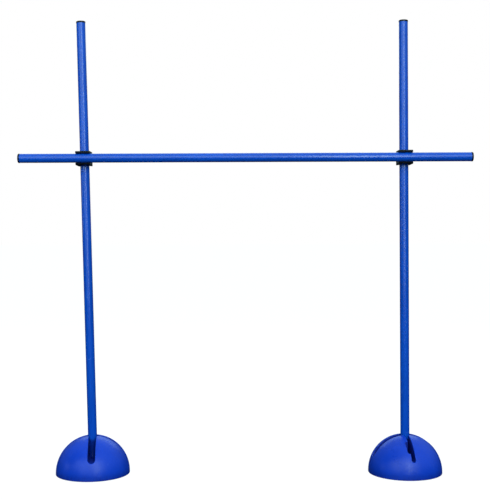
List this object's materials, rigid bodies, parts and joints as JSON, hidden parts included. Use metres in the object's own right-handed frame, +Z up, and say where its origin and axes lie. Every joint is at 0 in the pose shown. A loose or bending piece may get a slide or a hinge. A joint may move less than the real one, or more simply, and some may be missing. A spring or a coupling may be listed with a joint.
{
  "type": "agility hurdle",
  "caption": "Free-standing dog agility hurdle: round poles plugged into fillable half-ball bases carry a clip-on crossbar whose height is set by sliding the clips.",
  "frame": {"origin": "on the floor, under the middle of the crossbar", "axes": "+X along the crossbar towards the right base, -Y to the side that the bar is clipped to, +Z up"},
  "size_m": [1.2, 0.196, 1.2065],
  "materials": {
    "dome_blue": "satin",
    "tube_blue": "satin",
    "cap_black": "satin",
    "clip_black": "satin",
    "plate_black": "matte",
    "plug_black": "satin",
    "ring_rubber": "matte",
    "seal_rubber": "matte",
    "ballast_fill": "gloss"
  },
  "bodies": {
    "left_base": {"left_dome_shell": "dome_blue", "left_base_plate": "plate_black", "left_foot_ring": "ring_rubber", "left_ballast": "ballast_fill"},
    "right_base": {"right_dome_shell": "dome_blue", "right_base_plate": "plate_black", "right_foot_ring": "ring_rubber", "right_ballast": "ballast_fill"},
    "left_plug": {"left_filler_plug": "plug_black", "left_plug_seal": "seal_rubber"},
    "right_plug": {"right_filler_plug": "plug_black", "right_plug_seal": "seal_rubber"},
    "left_upright": {"left_upright_tube": "tube_blue", "left_upright_bottom_cap": "cap_black", "left_upright_top_cap": "cap_black"},
    "right_upright": {"right_upright_tube": "tube_blue", "right_upright_bottom_cap": "cap_black", "right_upright_top_cap": "cap_black"},
    "left_clip": {"left_bar_clip": "clip_black"},
    "right_clip": {"right_bar_clip": "clip_black"},
    "crossbar": {"crossbar_tube": "tube_blue", "crossbar_left_cap": "cap_black", "crossbar_right_cap": "cap_black"}
  },
  "joints": [
    {"name": "stance_width", "type": "slide", "parent": "left_base", "child": "right_base", "axis": [1, 0, 0], "range_m": [-0.45, 0.07]},
    {"name": "left_upright_lift", "type": "slide", "parent": "left_base", "child": "left_upright", "axis": [-0.0225, 0, 0.9997], "range_m": [0, 0.12]},
    {"name": "right_upright_lift", "type": "slide", "parent": "right_base", "child": "right_upright", "axis": [-0.0026, 0, 1], "range_m": [0, 0.12]},
    {"name": "bar_height", "type": "slide", "parent": "left_base", "child": "left_clip", "axis": [-0.0225, 0, 0.9997], "range_m": [-0.71, 0.33]},
    {"name": "right_clip_height", "type": "slide", "parent": "right_base", "child": "right_clip", "axis": [-0.0026, 0, 1], "range_m": [-0.72, 0.34]},
    {"name": "bar_slide", "type": "slide", "parent": "left_clip", "child": "crossbar", "axis": [1, 0, 0], "range_m": [-0.07, 0.14]},
    {"name": "left_plug_turn", "type": "hinge", "parent": "left_base", "child": "left_plug", "pos_m": [-0.38104, 0.03737, 0.0018], "axis": [0, 0, 1], "range_deg": [0, 90]},
    {"name": "right_plug_turn", "type": "hinge", "parent": "right_base", "child": "right_plug", "pos_m": [0.38683, 0.03026, 0.0018], "axis": [0, 0, 1], "range_deg": [0, 90]}
  ],
  "couplings": [
    {"joint": "right_clip_height", "follows": "bar_height", "ratio": 0.99975}
  ]
}
